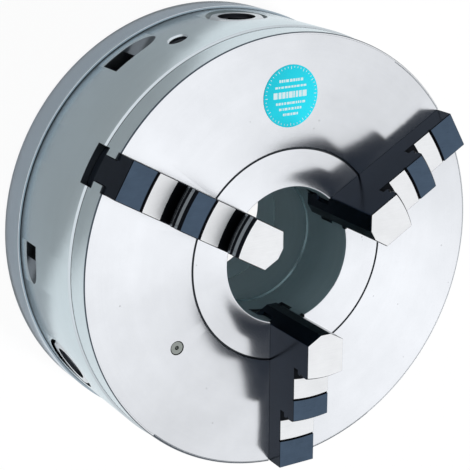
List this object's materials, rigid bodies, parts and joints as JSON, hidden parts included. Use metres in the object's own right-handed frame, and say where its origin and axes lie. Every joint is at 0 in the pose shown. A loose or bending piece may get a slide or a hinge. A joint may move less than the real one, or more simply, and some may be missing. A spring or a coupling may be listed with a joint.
{
  "type": "lathe chuck",
  "caption": "Self-centring scroll chuck with stepped one-piece jaws, bevel pinions in the side and a plain recessed back.",
  "frame": {"origin": "centre of the back mounting face", "axes": "+Z along the spindle axis, from the back towards the jaws; +Y through pinion 1, jaw 1 on -Y"},
  "size_m": [0.252, 0.252, 0.1381],
  "materials": {
    "body_iron": "ground bright on the face and outside, bored inside",
    "cover_iron": "turned and ground",
    "scroll_steel": "hardened, oiled",
    "pinion_steel": "hardened and ground",
    "jaw_steel": "black oxide, hardened",
    "screw_steel": "black oxide",
    "dowel_steel": "ground",
    "oiler_brass": "turned",
    "ball_steel": "polished",
    "badge_foil": "printed foil with plain rings and ticks"
  },
  "bodies": {
    "housing": {"chuck_body": "body_iron", "rear_cover": "cover_iron", "pinion_stop_screw_1": "screw_steel", "pinion_stop_screw_2": "screw_steel", "pinion_stop_screw_3": "screw_steel", "cover_screw_1": "screw_steel", "cover_screw_2": "screw_steel", "cover_screw_3": "screw_steel", "cover_screw_4": "screw_steel", "cover_screw_5": "screw_steel", "cover_screw_6": "screw_steel", "cover_dowel_1": "dowel_steel", "cover_dowel_2": "dowel_steel", "oiler_body": "oiler_brass", "oiler_ball": "ball_steel", "badge": "badge_foil"},
    "scroll": {"scroll": "scroll_steel"},
    "jaw_1": {"jaw_1": "jaw_steel"},
    "jaw_2": {"jaw_2": "jaw_steel"},
    "jaw_3": {"jaw_3": "jaw_steel"},
    "pinion_1": {"pinion_1": "pinion_steel"},
    "pinion_2": {"pinion_2": "pinion_steel"},
    "pinion_3": {"pinion_3": "pinion_steel"}
  },
  "joints": [
    {"name": "scroll_turn", "type": "hinge", "parent": "housing", "child": "scroll", "pos_m": [0, 0, 0], "axis": [0, 0, 1], "range_deg": [-864, 1080]},
    {"name": "jaw_1_slide", "type": "slide", "parent": "housing", "child": "jaw_1", "axis": [0, -1, 0], "range_m": [-0.03, 0.024]},
    {"name": "jaw_2_slide", "type": "slide", "parent": "housing", "child": "jaw_2", "axis": [0.866, 0.5, 0], "range_m": [-0.03, 0.024]},
    {"name": "jaw_3_slide", "type": "slide", "parent": "housing", "child": "jaw_3", "axis": [-0.866, 0.5, 0], "range_m": [-0.03, 0.024]},
    {"name": "pinion_1_turn", "type": "hinge", "parent": "housing", "child": "pinion_1", "pos_m": [0, 0, 0.0435], "axis": [0, 1, 0], "range_deg": [-7560, 6048]},
    {"name": "pinion_2_turn", "type": "hinge", "parent": "housing", "child": "pinion_2", "pos_m": [0, 0, 0.0435], "axis": [-0.866, -0.5, 0], "range_deg": [-7560, 6048]},
    {"name": "pinion_3_turn", "type": "hinge", "parent": "housing", "child": "pinion_3", "pos_m": [0, 0, 0.0435], "axis": [0.866, -0.5, 0], "range_deg": [-7560, 6048]}
  ],
  "couplings": [
    {"joint": "jaw_1_slide", "follows": "scroll_turn", "m_per_rad": -0.0015915},
    {"joint": "jaw_2_slide", "follows": "scroll_turn", "m_per_rad": -0.0015915},
    {"joint": "jaw_3_slide", "follows": "scroll_turn", "m_per_rad": -0.0015915},
    {"joint": "pinion_1_turn", "follows": "scroll_turn", "ratio": -7},
    {"joint": "pinion_2_turn", "follows": "scroll_turn", "ratio": -7},
    {"joint": "pinion_3_turn", "follows": "scroll_turn", "ratio": -7}
  ]
}
